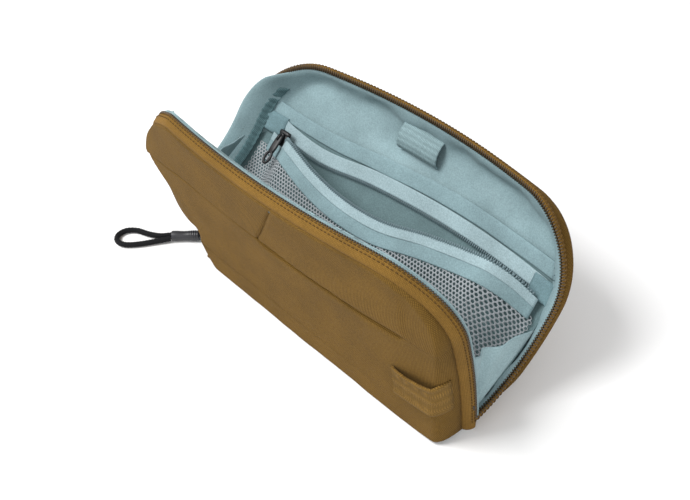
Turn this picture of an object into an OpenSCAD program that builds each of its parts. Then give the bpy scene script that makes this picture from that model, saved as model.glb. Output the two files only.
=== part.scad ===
// Clamshell pouch for cables and small travel items, standing open.
// X runs along the pouch, Y from front to back, Z up. Z = 0 is the surface it stands on.
// Each half is drawn upright, as when the pouch is shut: x along, -y for depth away from the zip,
// z up from the fold line. It is then leaned to its open position.

/* [Pouch] */
// Length between the two vertical runs of the main zip
pouch_l = 220; // [200:1:240]
// Height of each half above the fold line
half_h = 100; // [92:1:110]
// Radius of the two upper corners of the zip line
corner_r = 41; // [34:1:44]
// Radius of the lower left corner, where the zip starts
heel_r = 34; // [28:1:38]
// Height of the fold line above the table
fold_z = 11; // [11:0.5:14]

/* [Opening] */
// Lean of the front half from upright, in degrees
front_lean = 15; // [5:1:18]
// Lean of the lower back from upright, in degrees
back_lean = 59; // [45:1:60]
// How far the upper back bends up from the lower back, in degrees
back_bend = 27; // [20:1:42]
// Lean of the mesh front inwards from the lower back, in degrees
mesh_lean = 26; // [10:1:28]

/* [Depths] */
// Depth of the front half at its base
front_base_d = 16; // [14:0.5:17]
// Depth of the front half at the crease under the yoke
front_crease_d = 13.5; // [12:0.5:14]
// Height of the crease on the front half
crease_v = 57.5; // [54:0.5:62]
// Depth of the back half
back_d = 15; // [14:0.5:16]
// Thickness of the outer canvas
canvas_t = 1; // [0.8:0.1:1.2]
// Thickness of the foam behind the canvas
foam_t = 2.4; // [1.5:0.1:2.6]
// Thickness of the lining and the pocket cloths
lining_t = 0.6; // [0.5:0.1:0.8]

/* [Mesh pocket] */
// Height of the mesh pocket's zip above the fold line
mouth_v = 60; // [58:1:62]
// Length of the mesh pocket's zip
mouth_l = 184; // [160:2:186]
// Height of the mesh pocket's lower seam
mesh_foot_v = 7; // [7:1:9]

/* [Hidden] */
$fn = 64;

ochre = "#8f6d36";
ochre_dark = "#6e5126";
teal = "#8ea9ac";
teal_dark = "#4f7076";
mesh_grey = "#b9c6c6";
black = "#1c1c1e";

half_l = pouch_l / 2;
big = 300;                        // longer than the pouch, for cutting blocks
gap = 0.1;                        // air between two layers of one wall
seam_inset = 3.8;                 // from the zip line in to the canvas seam
seam_d = 5.8;                     // depth of the canvas seam
edge_r = 9;                       // rounding of the upright outer edges
bend_v = half_h / 2;              // height of the bend across the back
bend_gap = 0.15;                  // clear on each side of the bend
back_foot_d = 9;                  // the back's depth at its lowest edge
back_foot_v = 12;                 // height at which the back reaches its full depth
back_top_v = 91;                  // height at which the back's top edge begins
coil_d0 = 1;                      // depth at which the main zip's coils start
coil_d1 = 2.2;
coil_w = 2.8;
tape_t = 0.8;
foam_i = canvas_t + lining_t + 2 * gap;
lining_i = foam_i + foam_t + gap;
slip_d = back_d - lining_i - lining_t - 0.8;   // inner face of the slip pocket
flap_d = 7;                       // depth at which the mesh front lies when the pouch is shut
base_l = [-76, 103];
base_y = [-18, 19];
base_r = 8;
heel_x = -half_l + heel_r;        // centre of the lower left corner

// ---- Placing the halves ----

module front_place() {
    translate([0, 0, fold_z]) rotate([front_lean, 0, 0]) children();
}

module back_lower_place() {
    translate([0, 0, fold_z]) rotate([-back_lean, 0, 0]) mirror([0, 1, 0]) children();
}

module back_upper_place() {
    back_lower_place()
        translate([0, 0, bend_v]) rotate([-back_bend, 0, 0]) translate([0, 0, -bend_v]) children();
}

module mesh_place() {
    back_lower_place()
        translate([0, -flap_d, mesh_foot_v]) rotate([-mesh_lean, 0, 0])
            translate([0, flap_d, -mesh_foot_v]) children();
}

// A flat outline in x and z, given depth from d0 to d1 along -y
module deep(d0, d1) {
    translate([0, -d0, 0]) rotate([90, 0, 0]) linear_extrude(d1 - d0) children();
}

// ---- The shape that both halves share ----

// Outline of a half, i inside the zip line, square at the lower right
module outline(i = 0) {
    translate([heel_x, i]) square([half_l - i - heel_x, half_h - corner_r - i]);
    translate([-half_l + i, heel_r]) square([pouch_l - 2 * i, half_h - corner_r - heel_r]);
    translate([-half_l + corner_r, heel_r]) square([pouch_l - 2 * corner_r, half_h - heel_r - i]);
    translate([heel_x, heel_r]) circle(heel_r - i);
    for (side = [-1, 1])
        translate([side * (half_l - corner_r), half_h - corner_r]) circle(corner_r - i);
}

// The same outline run down past the lower edge, to cut an open foot
module open_outline(i = 0) {
    outline(i);
    translate([heel_x, -1]) square([half_l - i - heel_x, heel_r]);
}

// A band along the zip line, i0 to i1 inside it, open along the foot
module band(i0, i1) {
    difference() {
        outline(i0);
        outline(i1);
        translate([heel_x - 12, -1]) square([half_l - i1 - heel_x + 12, heel_r / 2]);
    }
}

// Rounded upright block that limits a half in plan, i inside the canvas
module plan_block(i, depth) {
    w = pouch_l - 2 * (seam_inset + i);
    r = edge_r - i;
    linear_extrude(half_h) {
        translate([-w / 2, -depth + i + r]) square([w, depth]);
        translate([-w / 2 + r, -depth + i]) square([w - 2 * r, depth]);
        for (side = [-1, 1]) translate([side * (w / 2 - r), -depth + i + r]) circle(r);
    }
}

// Side profile [depth, height] run along the pouch
module along(points) {
    rotate([90, 0, 90]) linear_extrude(big, center = true)
        polygon([for (p = points) [-p[0], p[1]]]);
}

function front_profile(i) = [[-1, -1], [front_base_d - i + 0.04, -1], [front_crease_d - i, crease_v],
    [seam_d - i, half_h - seam_inset], [seam_d - i, half_h], [-1, half_h]];

function back_profile(i) = [[-1, -1], [back_foot_d - i - 0.5, -1], [back_d - i, back_foot_v],
    [back_d - i, back_top_v], [seam_d - i, half_h - seam_inset], [seam_d - i, half_h],
    [-1, half_h]];

module half_solid(profile, i, depth) {
    intersection() {
        deep(-1, depth) open_outline(seam_inset + i);
        along(profile);
        translate([0, 0, -1]) plan_block(i, depth);
    }
}

// One layer of a half's wall, from i0 to i1 inside the canvas, clear of the zip band
module front_layer(i0, i1) {
    difference() {
        half_solid(front_profile(i0), i0, front_base_d);
        half_solid(front_profile(i1), i1, front_base_d);
        cut_below(0);
        rotate([90, 0, 0]) translate([0, 0, -big + max(seam_d - i0 - 1.6, 0.4)])
            translate([-big / 2, -1, 0]) cube([big, big, big]);
    }
}

module back_layer(i0, i1) {
    difference() {
        half_solid(back_profile(i0), i0, back_d);
        half_solid(back_profile(i1), i1, back_d);
        cut_below(0);
        rotate([90, 0, 0]) translate([0, 0, -big + max(seam_d - i0 - 1.6, 0.4)])
            translate([-big / 2, -1, 0]) cube([big, big, big]);
    }
}

module cut_below(v) {
    translate([-big / 2, -big / 2, v - big]) cube([big, big, big]);
}

module cut_above(v) {
    translate([-big / 2, -big / 2, v]) cube([big, big, big]);
}

module lower_part() {
    difference() {
        children();
        cut_above(bend_v - bend_gap);
    }
}

module upper_part() {
    difference() {
        children();
        cut_below(bend_v + bend_gap);
    }
}

// Flat block between two x, two depths and two heights of a half
module slab(x0, x1, d0, d1, v0, v1) {
    translate([x0, -d1, v0]) cube([x1 - x0, d1 - d0, v1 - v0]);
}

// ---- Base ----

module base_canvas() {
    color(ochre) {
        base_plate(0, 1.2, 0);
        translate([base_l[0] + base_r, base_y[0], 0])
            cube([base_l[1] - base_l[0] - 2 * base_r, canvas_t, 5.4]);
    }
}

// A plate with round corners that fills the base's outline, inset all round
module base_plate(z0, t, inset) {
    x0 = base_l[0] + inset;
    y0 = base_y[0] + inset;
    w = base_l[1] - base_l[0] - 2 * inset;
    d = base_y[1] - base_y[0] - 2 * inset;
    r = base_r;
    translate([x0, y0, z0]) linear_extrude(t) {
        translate([r, 0]) square([w - 2 * r, d]);
        translate([0, r]) square([w, d - 2 * r]);
        for (x = [r, w - r]) for (y = [r, d - r]) translate([x, y]) circle(r);
    }
}

module base_board() {
    color(black) base_plate(1.2, 1.2, 2);
}

module base_lining() {
    color(teal_dark) base_plate(2.4, 0.5, 2);
}

// ---- Front half ----

module front_panel() {
    color(ochre) front_place() difference() {
        front_layer(0, canvas_t);
        cut_above(crease_v - gap);
    }
}

yoke_seam_x = -4;   // the yoke's upright seam

module yoke() {
    difference() {
        front_layer(0, canvas_t);
        cut_below(crease_v + gap);
        children();
    }
}

module yoke_left() {
    color(ochre) front_place() yoke() translate([yoke_seam_x, -big / 2, 0]) cube(big);
}

module yoke_right() {
    color(ochre) front_place()
        yoke() translate([yoke_seam_x + gap - big, -big / 2, 0]) cube(big);
}

module front_foam() {
    color(black) front_place() front_layer(foam_i, foam_i + foam_t);
}

module front_lining() {
    color(teal) front_place() front_layer(lining_i, lining_i + lining_t);
}

// Single cloth of the slit pocket, flat between the canvas and the foam
module slit_pocket_bag() {
    color(ochre_dark) front_place() intersection() {
        front_layer(canvas_t + gap, canvas_t + gap + lining_t);
        slab(-6, 92, seam_d, big, 8, crease_v - 1);
    }
}

module zip_tape() {
    deep(coil_d1 + 0.05, seam_d - 1.7) band(1, 1 + tape_t);
    deep(seam_d - 2.6, seam_d - 1.7) band(1 + tape_t / 2, seam_inset + canvas_t);
}

module zip_coil() {
    deep(coil_d0, coil_d1) band(0, coil_w);
}

module seam_binding() {
    deep(1.5, 2.3) band(seam_inset + canvas_t + gap, seam_inset + lining_i - gap);
}

module front_zip_tape() {
    color(ochre_dark) front_place() zip_tape();
}

module front_zip_coil() {
    color(black) front_place() zip_coil();
}

module front_binding() {
    color(teal_dark) front_place() seam_binding();
}

loop_v = [15, 35];      // the webbing loop's lower and upper edge
loop_t = 1.4;
loop_air = 6;           // finger room between the loop and the wall

// Webbing that wraps the front right edge, standing off it as a grab loop
module webbing_loop() {
    x0 = 79;
    x1 = half_l - seam_inset;
    y1 = -front_base_d - 0.4;
    out = loop_air + loop_t;
    color(ochre) front_place() translate([0, 0, loop_v[0]]) linear_extrude(loop_v[1] - loop_v[0]) {
        difference() {
            union() {
                translate([x0 + 4, y1 - out]) square([x1 + out - x0 - 4 - edge_r, out]);
                translate([x1, y1 + 2]) square([out, -y1 - seam_d - 4]);
                translate([x1 + out - edge_r - 4, y1 - out + edge_r + 4]) circle(edge_r + 4);
                translate([x0, y1 - loop_t]) square([6, loop_t]);
            }
            translate([x0 + 4 + loop_t, y1 - loop_air]) square([x1 - x0 - edge_r - 4, big]);
            translate([x1 - edge_r - 6, y1 + 2 - 0.01]) square([edge_r + 6 + loop_air, big]);
            translate([x1 + out - edge_r - 4, y1 - out + edge_r + 4])
                circle(edge_r + 4 - loop_t);
            translate([x0 + 6, y1]) square([x1 - x0 - 6, big]);
        }
        translate([x1 + 0.3, -seam_d - 3]) square([out - 0.3, loop_t]);
    }
}

// Blank folded label in the left side seam
module side_label() {
    color(black) front_place()
        slab(-half_l + seam_inset - 4, -half_l + seam_inset - 0.3, 8, 9, 44, 60);
}

// End stop on both tapes at the right end of the main zip
module zip_stop() {
    color(black) front_place() slab(half_l - coil_w, half_l, 0.2, coil_d0 - 0.1, 7.5, 11);
}

// ---- Back half, lower part ----

module back_panel_lower() {
    color(ochre) back_lower_place() lower_part() back_layer(0, canvas_t);
}

module back_foam_lower() {
    color(black) back_lower_place() lower_part() back_layer(foam_i, foam_i + foam_t);
}

module back_lining_lower() {
    color(teal) back_lower_place() lower_part() back_layer(lining_i, lining_i + lining_t);
}

module back_zip_tape_lower() {
    color(ochre_dark) back_lower_place() lower_part() zip_tape();
}

module back_zip_coil_lower() {
    color(black) back_lower_place() lower_part() zip_coil();
}

module back_binding_lower() {
    color(teal_dark) back_lower_place() lower_part() seam_binding();
}

slip_x = 93;    // half the width of the slip pocket

module slip_panel_lower() {
    color(teal) back_lower_place()
        slab(-70, slip_x, slip_d, slip_d + lining_t, mesh_foot_v + 6, bend_v - bend_gap);
}

// ---- Back half, upper part ----

module back_panel_upper() {
    color(ochre) back_upper_place() upper_part() back_layer(0, canvas_t);
}

module back_foam_upper() {
    color(black) back_upper_place() upper_part() back_layer(foam_i, foam_i + foam_t);
}

module back_lining_upper() {
    color(teal) back_upper_place() upper_part() back_layer(lining_i, lining_i + lining_t);
}

module back_zip_tape_upper() {
    color(ochre_dark) back_upper_place() upper_part() zip_tape();
}

module back_zip_coil_upper() {
    color(black) back_upper_place() upper_part() zip_coil();
}

module back_binding_upper() {
    color(teal_dark) back_upper_place() upper_part() seam_binding();
}

hem_v = [71, 77];

module slip_panel_upper() {
    color(teal) back_upper_place()
        slab(-slip_x, slip_x, slip_d, slip_d + lining_t, bend_v + bend_gap, hem_v[0]);
}

module slip_hem() {
    color(teal) back_upper_place()
        slab(-slip_x, slip_x, slip_d - 0.4, slip_d + lining_t, hem_v[0], hem_v[1]);
}

loop_x = [-9, 18];      // the pen loop's two ends
loop_r = 6;             // its inner radius
pen_v = 84;

// Elastic loop sewn to the lining above the slip pocket, for one pen lying along the pouch
module pen_loop() {
    floor_d = back_d - lining_i - lining_t - gap;
    color(teal_dark) back_upper_place() intersection() {
        translate([loop_x[0], -floor_d, pen_v]) rotate([0, 90, 0]) difference() {
            cylinder(h = loop_x[1] - loop_x[0], r = loop_r + 0.8);
            translate([0, 0, -1]) cylinder(h = big, r = loop_r);
        }
        slab(-big, big, 0, floor_d, 0, big);
    }
}

tape_d = [slip_d - 1.4, slip_d - 0.6];
tape_x = [-mouth_l / 2 + 4, mouth_l / 2 + 4];

module pocket_tape_upper() {
    color(teal) back_upper_place()
        slab(tape_x[0], tape_x[1], tape_d[0], tape_d[1], mouth_v + 1.6, mouth_v + 7.4);
}

module pocket_coil_upper() {
    color(black) back_upper_place()
        slab(tape_x[0] + 2, tape_x[1] - 2, tape_d[0] - 0.4, tape_d[1], mouth_v + 0.2, mouth_v + 1.5);
}

module pocket_tab(x0, x1) {
    back_upper_place() slab(x0, x1, tape_d[0] - 0.4, tape_d[1], mouth_v - 5, mouth_v + 7.4);
}

module pocket_tab_left() {
    color(teal_dark) pocket_tab(tape_x[0] - 9, tape_x[0] - 0.2);
}

module pocket_tab_right() {
    color(teal_dark) pocket_tab(tape_x[1] + 0.2, tape_x[1] + 2);
}

// ---- Mesh front, which hangs open from its lower seam ----

module mesh_slab(v0, v1, t, d = flap_d) {
    mesh_place() slab(tape_x[0] + 14, tape_x[1], d - t, d, v0, v1);
}

mesh_top_v = mouth_v - 16;

module mesh_panel() {
    color(mesh_grey) mesh_slab(mesh_foot_v, mesh_top_v, 0.6);
}

module mesh_hem() {
    color(teal) mesh_slab(mesh_top_v, mesh_top_v + 7, 1);
}

module pocket_tape_lower() {
    color(teal) mesh_slab(mesh_top_v + 7, mouth_v - 3.4, 0.8);
}

module pocket_coil_lower() {
    color(black) mesh_slab(mouth_v - 3.4, mouth_v - 2.1, 1.2);
}

// ---- Mesh pocket's slider and puller ----

slider_x = tape_x[0] + 6;

// Slider body: a plate in front of the coil with a lip over its top
module pocket_slider() {
    color(black) back_upper_place() {
        slab(slider_x - 3, slider_x + 3, tape_d[0] - 1.8, tape_d[0] - 0.8, mouth_v - 2, mouth_v + 4);
        slab(slider_x - 1.2, slider_x + 1.2, tape_d[0] - 2.8, tape_d[0] - 1.8, mouth_v - 1, mouth_v + 1);
    }
}

puller_d = tape_d[0] - 4;   // depth of the puller's pivot
puller_l = 22;
puller_rest = 30;           // how far the puller hangs off the pocket

// Flat puller with a slot near its free end, hanging from the slider
module pocket_puller() {
    color(black) back_upper_place()
        translate([slider_x, -puller_d, mouth_v]) rotate([puller_rest, 0, 0]) rotate([90, 0, 0])
            translate([0, 0, -0.6]) linear_extrude(1.2) difference() {
                union() {
                    translate([-2.5, -puller_l + 2.5]) square([5, puller_l - 2.5]);
                    translate([0, -puller_l + 2.5]) circle(2.5);
                }
                translate([-1.2, -puller_l + 2.5]) square([2.4, 8]);
            }
}

// ---- Main slider, its link, sleeve and cord ----

slider_turn = -112;     // where on the lower left corner's arc the slider stands
slider_span = 14;       // the arc it covers

module slider_wall(i0, i1, d0, d1) {
    front_place() translate([heel_x, 0, heel_r]) rotate([90, 0, 0])
        translate([0, 0, d0]) linear_extrude(d1 - d0) intersection() {
            difference() {
                circle(heel_r - i0);
                circle(heel_r - i1);
            }
            polygon([[0, 0], for (a = [-1, 0, 1])
                2 * heel_r * [cos(slider_turn + a * slider_span / 2),
                    sin(slider_turn + a * slider_span / 2)]]);
        }
}

module main_slider() {
    color(black) {
        slider_wall(-1.5, 4.5, 0.15, coil_d0 - 0.15);
        slider_wall(-1.5, -0.4, coil_d0 - 0.15, 4);
        slider_wall(3.2, 4.5, coil_d0 - 0.15, 3);
    }
}

// The cord's route on the table, from the sleeve round the loop and back
cord_r = 1.5;
cord_route = [[-94.4, -20.8, 2.4], [-98.4, -25.4, 2], [-104.5, -29, 1.7], [-111, -31.8, 1.7],
    [-115, -36.2, 1.7], [-115, -41.5, 1.7], [-111.3, -44.8, 1.7], [-106, -43.8, 1.7],
    [-101, -38, 1.7], [-96.2, -29.8, 2], [-92.2, -22.8, 2.4]];
link_in = [-89.3, -4.6, 9.2];
link_out = [-82.05, -9.45, 3.22];
sleeve_in = [-83, -10.5, 3.2];
sleeve_out = [-92.9, -21.3, 3];

// A round bar from a to b
module bar(a, b, r) {
    v = b - a;
    translate(a) rotate([0, acos(v[2] / norm(v)), atan2(v[1], v[0])]) cylinder(h = norm(v), r = r);
}

module slider_link() {
    color(black) bar(link_in, link_out, 1.2);
}

module pull_sleeve() {
    color(black) bar(sleeve_in, sleeve_out, 2.9);
}

function unit(v) = v / norm(v);

// Catmull-Rom point between p[i] and p[i + 1]
function spline(p, i, t) =
    let (n = len(p) - 1, a = p[max(i - 1, 0)], b = p[i], c = p[i + 1], d = p[min(i + 2, n)])
    0.5 * (2 * b + (c - a) * t + (2 * a - 5 * b + 4 * c - d) * t * t
        + (3 * b - a - 3 * c + d) * t * t * t);

module tube(route, r, sides = 8, steps = 3) {
    n = len(route) - 1;
    line = [for (i = [0 : n - 1]) for (k = [0 : steps - 1]) spline(route, i, k / steps), route[n]];
    m = len(line);
    rings = [for (i = [0 : m - 1])
        let (t = unit(line[min(i + 1, m - 1)] - line[max(i - 1, 0)]),
            u = unit(cross(t, [0, 0, 1])), w = cross(u, t))
        for (k = [0 : sides - 1])
            line[i] + r * (cos(360 * k / sides) * u + sin(360 * k / sides) * w)];
    polyhedron(rings, [
        [for (k = [0 : sides - 1]) k],
        [for (k = [0 : sides - 1]) m * sides - 1 - k],
        for (i = [0 : m - 2]) for (k = [0 : sides - 1]) let (j = (k + 1) % sides)
            [i * sides + k, (i + 1) * sides + k, (i + 1) * sides + j, i * sides + j]]);
}

module pull_cord() {
    color(black) tube(cord_route, cord_r);
}

// ---- Gussets: a fan of lining at each end, between the two halves ----

gusset_v = 46;
gusset_t = 0.6;
gusset_clear = 3;   // degrees left free beside each half

module gusset(x) {
    translate([x, 0, fold_z]) rotate([90, 0, 90]) linear_extrude(gusset_t)
        polygon([for (a = [front_lean - gusset_clear, 0, -back_lean / 2, -back_lean + gusset_clear])
                gusset_v * [-sin(a), cos(a)],
            8 * [sin(back_lean / 2), cos(back_lean / 2)]]);
}

module gusset_left() {
    color(teal) gusset(-half_l + 6);
}

module gusset_right() {
    color(teal) gusset(half_l - 6 - gusset_t);
}

base_canvas();
base_board();
base_lining();
front_panel();
yoke_left();
yoke_right();
front_foam();
front_lining();
slit_pocket_bag();
front_zip_tape();
front_zip_coil();
front_binding();
webbing_loop();
side_label();
zip_stop();
back_panel_lower();
back_foam_lower();
back_lining_lower();
back_zip_tape_lower();
back_zip_coil_lower();
back_binding_lower();
slip_panel_lower();
back_panel_upper();
back_foam_upper();
back_lining_upper();
back_zip_tape_upper();
back_zip_coil_upper();
back_binding_upper();
slip_panel_upper();
slip_hem();
pen_loop();
pocket_tape_upper();
pocket_coil_upper();
pocket_tab_left();
pocket_tab_right();
mesh_panel();
mesh_hem();
pocket_tape_lower();
pocket_coil_lower();
pocket_slider();
pocket_puller();
main_slider();
slider_link();
pull_sleeve();
pull_cord();
gusset_left();
gusset_right();
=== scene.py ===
import math

import bmesh
import bpy
import numpy as np
from mathutils import Matrix, Vector, noise


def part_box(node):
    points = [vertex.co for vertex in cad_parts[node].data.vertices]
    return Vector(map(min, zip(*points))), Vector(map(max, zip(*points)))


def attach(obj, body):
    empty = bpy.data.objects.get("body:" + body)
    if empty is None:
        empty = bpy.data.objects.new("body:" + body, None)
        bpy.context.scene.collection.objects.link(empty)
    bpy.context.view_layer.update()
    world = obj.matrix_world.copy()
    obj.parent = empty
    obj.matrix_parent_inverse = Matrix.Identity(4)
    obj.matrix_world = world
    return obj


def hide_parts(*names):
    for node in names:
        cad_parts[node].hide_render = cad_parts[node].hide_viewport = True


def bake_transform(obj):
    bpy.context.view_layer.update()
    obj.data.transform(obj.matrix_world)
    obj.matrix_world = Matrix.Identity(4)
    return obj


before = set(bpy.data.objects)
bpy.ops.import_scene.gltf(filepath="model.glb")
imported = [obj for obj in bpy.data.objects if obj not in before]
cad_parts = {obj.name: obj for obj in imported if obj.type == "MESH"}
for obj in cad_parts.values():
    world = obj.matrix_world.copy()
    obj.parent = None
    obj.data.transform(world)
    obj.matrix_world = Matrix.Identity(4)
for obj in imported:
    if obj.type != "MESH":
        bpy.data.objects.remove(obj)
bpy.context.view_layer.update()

# ---- Camera, table and light ----
# A white table under soft studio light, seen from the right front and above. The key lamp
# stands to the left in front, and a weaker one fills in from the right.

camera = bpy.data.objects.new("camera", bpy.data.cameras.new("camera"))
bpy.context.scene.collection.objects.link(camera)
camera.location = (0.2869, -0.2447, 0.3707)
camera.rotation_euler = (math.radians(48.7), 0, math.radians(47.1))
camera.data.lens = 53.83
camera.data.sensor_width = 36
camera.data.clip_start = 0.01
bpy.context.scene.camera = camera


def surface(name, roughness, colour):
    """A Principled material and the pieces of its node tree."""
    material = bpy.data.materials.new(name)
    material.use_nodes = True
    tree = material.node_tree
    shader = tree.nodes["Principled BSDF"]
    shader.inputs["Base Color"].default_value = (*colour, 1)
    shader.inputs["Roughness"].default_value = roughness
    return material, tree, shader


floor_paint, tree, shader = surface("table_white", 0.9, (0.93, 0.93, 0.93))
shader.inputs["Specular IOR Level"].default_value = 0.1
floor_mesh = bpy.data.meshes.new("table")
floor_mesh.from_pydata([(-4, -4, 0), (4, -4, 0), (4, 4, 0), (-4, 4, 0)], [], [(0, 1, 2, 3)])
floor_mesh.materials.append(floor_paint)
table_top = bpy.data.objects.new("table", floor_mesh)
bpy.context.scene.collection.objects.link(table_top)

world = bpy.data.worlds.new("studio")
world.use_nodes = True
world.node_tree.nodes["Background"].inputs[0].default_value = (1, 1, 1, 1)
world.node_tree.nodes["Background"].inputs[1].default_value = 0.62
bpy.context.scene.world = world
bpy.context.scene.view_settings.view_transform = "Standard"


def lamp(name, place, target, power, size):
    data = bpy.data.lights.new(name, "AREA")
    data.energy, data.size = power, size
    lamp_object = bpy.data.objects.new(name, data)
    lamp_object.location = place
    aim = Vector(target) - Vector(place)
    lamp_object.rotation_euler = aim.to_track_quat("-Z", "Y").to_euler()
    bpy.context.scene.collection.objects.link(lamp_object)


lamp("key", (-0.35, -0.55, 0.95), (0, 0, 0.03), 13, 0.5)
lamp("fill", (0.9, -0.6, 0.6), (0, 0, 0.03), 4, 0.9)

# ---- Base ----
# A stiffened strip of canvas that the pouch stands on, turned up along its edges.
# The lining floor lies over it between the two halves.


MM = 0.001


def face_outward(mesh):
    """Turns a closed mesh's faces outward."""
    work = bmesh.new()
    work.from_mesh(mesh)
    bmesh.ops.recalc_face_normals(work, faces=work.faces)
    work.to_mesh(mesh)
    work.free()


def finish_mesh(name, mesh):
    """Links a closed mesh as a smooth piece."""
    face_outward(mesh)
    mesh.polygons.foreach_set("use_smooth", [True] * len(mesh.polygons))
    piece = bpy.data.objects.new(name, mesh)
    bpy.context.scene.collection.objects.link(piece)
    return piece


def lay_flat(mesh, flat):
    """Writes each point's place on the flat cloth, in mm, as the mesh's UVs."""
    layer = mesh.uv_layers.new(name="cloth")
    at = np.zeros(len(mesh.loops), int)
    mesh.loops.foreach_get("vertex_index", at)
    layer.data.foreach_set("uv", flat[at].astype(np.float32).ravel())


def rows_to_mesh(name, outer, inner):
    """A closed shell between two grids of points in mm, with UVs in mm along the outer one."""
    n, m = outer.shape[:2]
    grid = np.arange(n * m).reshape(n, m)
    a, b, c, d = grid[:-1, :-1], grid[1:, :-1], grid[1:, 1:], grid[:-1, 1:]
    quads = np.stack([a, b, c, d], -1).reshape(-1, 4)
    ring = np.concatenate([grid[0, :], grid[1:, -1], grid[-1, -2::-1], grid[-2:0:-1, 0]])
    after = np.roll(ring, -1)
    walls = np.stack([ring, after, after + n * m, ring + n * m], -1)
    quads = np.concatenate([quads, quads[:, ::-1] + n * m, walls])
    points = np.concatenate([outer.reshape(-1, 3), inner.reshape(-1, 3)])
    mesh = bpy.data.meshes.new(name)
    mesh.from_pydata((points * MM).tolist(), [], quads.tolist())
    along = np.zeros((n, m))
    across = np.zeros((n, m))
    along[1:] = np.cumsum(np.linalg.norm(np.diff(outer, axis=0), axis=2), axis=0)
    across[:, 1:] = np.cumsum(np.linalg.norm(np.diff(outer, axis=1), axis=2), axis=1)
    across -= across[:, m // 2][:, None]
    flat = np.stack([across, along], -1).reshape(-1, 2)
    lay_flat(mesh, np.concatenate([flat, flat]))
    return finish_mesh(name, mesh)


def normals(grid, facing):
    """Unit normals of a grid of points, turned so that the middle one faces that way."""
    n = np.cross(np.gradient(grid, axis=0), np.gradient(grid, axis=1))
    n /= np.maximum(np.linalg.norm(n, axis=2, keepdims=True), 1e-9)
    middle = n[n.shape[0] // 2, n.shape[1] // 2]
    return n if middle @ np.array(facing) > 0 else -n


def cloth_shell(name, grid, thick, facing):
    """A closed cloth piece whose outer face is the grid and whose thickness lies behind it."""
    return rows_to_mesh(name, grid, grid - normals(grid, facing) * thick)


def wobble(points, size, seed):
    """Smooth noise from about -1 to 1 at each point of a grid in mm."""
    flat = points.reshape(-1, 3) / size + np.array([seed * 7.3, seed * 3.1, seed * 5.7])
    return np.array([noise.noise(Vector(p)) for p in flat]).reshape(points.shape[:-1])


def node(tree, kind, **settings):
    made = tree.nodes.new(kind)
    for key, value in settings.items():
        setattr(made, key, value)
    return made


def speckle(tree, scale, detail):
    """Noise that is fixed to the piece."""
    place = node(tree, "ShaderNodeTexCoord")
    made = node(tree, "ShaderNodeTexNoise")
    made.inputs["Scale"].default_value = scale
    made.inputs["Detail"].default_value = detail
    tree.links.new(place.outputs["Object"], made.inputs["Vector"])
    return made.outputs["Fac"]


def ranged(tree, value, low, high, start=0.0, end=1.0):
    """Stretches a value that runs from start to end so that it runs from low to high."""
    made = node(tree, "ShaderNodeMapRange")
    for key, number in (("From Min", start), ("From Max", end), ("To Min", low), ("To Max", high)):
        made.inputs[key].default_value = number
    tree.links.new(value, made.inputs["Value"])
    return made.outputs["Result"]


def paired(tree, operation, a, b):
    """Adds or multiplies two values."""
    made = node(tree, "ShaderNodeMath", operation=operation)
    tree.links.new(a, made.inputs[0])
    tree.links.new(b, made.inputs[1])
    return made.outputs[0]


def skin(tree, shader, colour, shade, gloss, height, strength, distance):
    """Joins a shade of the colour, a roughness and a bump to the shader."""
    tint = node(tree, "ShaderNodeVectorMath", operation="SCALE")
    tint.inputs[0].default_value = colour
    tree.links.new(shade, tint.inputs["Scale"])
    tree.links.new(tint.outputs["Vector"], shader.inputs["Base Color"])
    tree.links.new(gloss, shader.inputs["Roughness"])
    bump = node(tree, "ShaderNodeBump")
    bump.inputs["Strength"].default_value = strength
    bump.inputs["Distance"].default_value = distance
    tree.links.new(height, bump.inputs["Height"])
    tree.links.new(bump.outputs["Normal"], shader.inputs["Normal"])


# A wave texture repeats once per unit at this scale, so its pitch can be given in mm.
WAVE_SCALE = 0.31416


def cloth(name, colour, weave=0.8, depth=0.35, rough=0.85, ribs=None, thread=0.35, shine=0.1):
    """A woven cloth: crossing threads of the given pitch in mm, with uneven colour and wear."""
    material, tree, shader = surface(name, rough, colour)
    uv = node(tree, "ShaderNodeUVMap", uv_map="cloth")
    waves = []
    for direction, pitch in (("X", ribs or weave), ("Y", weave)):
        wave = node(tree, "ShaderNodeTexWave", bands_direction=direction)
        for key, number in (("Scale", WAVE_SCALE / pitch), ("Distortion", 0.6), ("Detail", 1),
                            ("Detail Scale", 0.4)):
            wave.inputs[key].default_value = number
        tree.links.new(uv.outputs["UV"], wave.inputs["Vector"])
        waves.append(wave.outputs["Fac"])
    threads = paired(tree, "MULTIPLY", *waves)
    worn = speckle(tree, 45, 5)
    grain = speckle(tree, 1400, 2)
    shade = paired(tree, "MULTIPLY", ranged(tree, worn, 0.88, 1.12, 0.3, 0.7),
                   ranged(tree, threads, 1 - thread, 1 + thread * 0.6))
    shade = paired(tree, "MULTIPLY", shade, ranged(tree, grain, 0.86, 1.14, 0.3, 0.7))
    gloss = ranged(tree, worn, max(rough - 0.12, 0.2), min(rough + 0.1, 1))
    skin(tree, shader, colour, shade, gloss, paired(tree, "ADD", threads, grain), depth, 0.0003)
    shader.inputs["Specular IOR Level"].default_value = shine
    shader.inputs["Sheen Weight"].default_value = shine * 0.15
    return material


def plastic(name, colour, rough=0.45, bumps=0.15):
    """Moulded or painted black and brown parts, with a slightly uneven skin."""
    material, tree, shader = surface(name, rough, colour)
    grain = speckle(tree, 260, 4)
    gloss = ranged(tree, grain, rough - 0.12, rough + 0.12)
    skin(tree, shader, colour, ranged(tree, grain, 0.7, 1.3), gloss, grain, bumps, 0.0002)
    return material


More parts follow.
